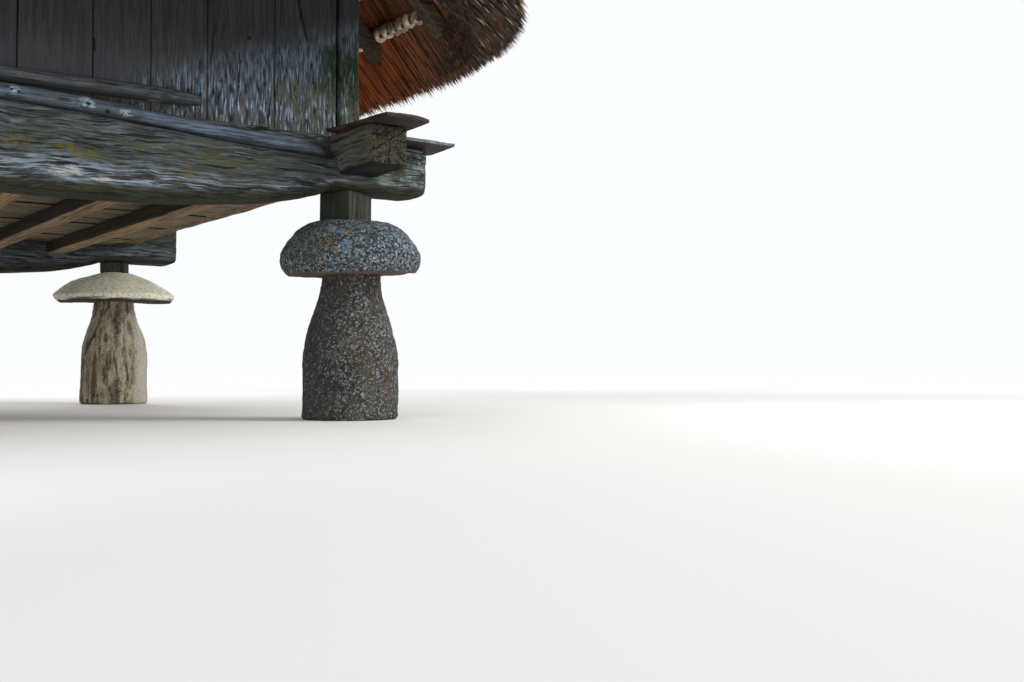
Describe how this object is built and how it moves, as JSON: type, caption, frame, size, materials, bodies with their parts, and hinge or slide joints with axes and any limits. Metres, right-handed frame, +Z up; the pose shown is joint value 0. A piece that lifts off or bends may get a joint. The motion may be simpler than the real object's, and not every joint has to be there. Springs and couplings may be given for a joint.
{
  "type": "raised granary",
  "caption": "Square timber granary on mushroom staddle stones, with half-lapped log beams, upright board walls and a hipped straw thatch.",
  "frame": {"origin": "centre of the plan on the ground, level with the pillars' feet", "axes": "+Z up, +X along the front to the right, -Y out of the front; the front is the side with the two loose poles on its ledge"},
  "size_m": [7.3156, 7.3156, 6.6092],
  "materials": {
    "granite": "matte",
    "staddle_granite": "matte",
    "pad_oak": "matte",
    "log_chestnut": "matte",
    "slate": "matte",
    "post_chestnut": "matte",
    "board_chestnut": "matte",
    "floor_chestnut": "matte",
    "joist_chestnut": "matte",
    "roof_timber": "matte",
    "rye_thatch": "matte",
    "pole_wood": "matte"
  },
  "bodies": {
    "root": {"pillar_front_right": "granite", "pillar_front_left": "granite", "pillar_back_right": "granite", "pillar_back_left": "granite", "staddle_front_right": "staddle_granite", "staddle_front_left": "staddle_granite", "staddle_back_right": "staddle_granite", "staddle_back_left": "staddle_granite", "pad_front_right": "pad_oak", "pad_front_left": "pad_oak", "pad_back_right": "pad_oak", "pad_back_left": "pad_oak", "front_beam": "log_chestnut", "back_beam": "log_chestnut", "left_beam": "log_chestnut", "right_beam": "log_chestnut", "slate_caps": "slate", "corner_post_front_right": "post_chestnut", "corner_post_front_left": "post_chestnut", "corner_post_back_right": "post_chestnut", "corner_post_back_left": "post_chestnut", "front_wall": "board_chestnut", "back_wall": "board_chestnut", "left_wall": "board_chestnut", "right_wall": "board_chestnut", "door_leaf": "board_chestnut", "floor_joists": "joist_chestnut", "floor_boards": "floor_chestnut", "front_plate": "post_chestnut", "back_plate": "post_chestnut", "left_plate": "post_chestnut", "right_plate": "post_chestnut", "hip_rafters": "roof_timber", "rafters_front": "roof_timber", "rafters_right": "roof_timber", "rafters_back": "roof_timber", "rafters_left": "roof_timber", "battens": "roof_timber", "thatch_front": "rye_thatch", "thatch_right": "rye_thatch", "thatch_back": "rye_thatch", "thatch_left": "rye_thatch", "thatch_crest": "rye_thatch", "front_pole_lower": "pole_wood", "front_pole_upper": "pole_wood"}
  },
  "joints": []
}
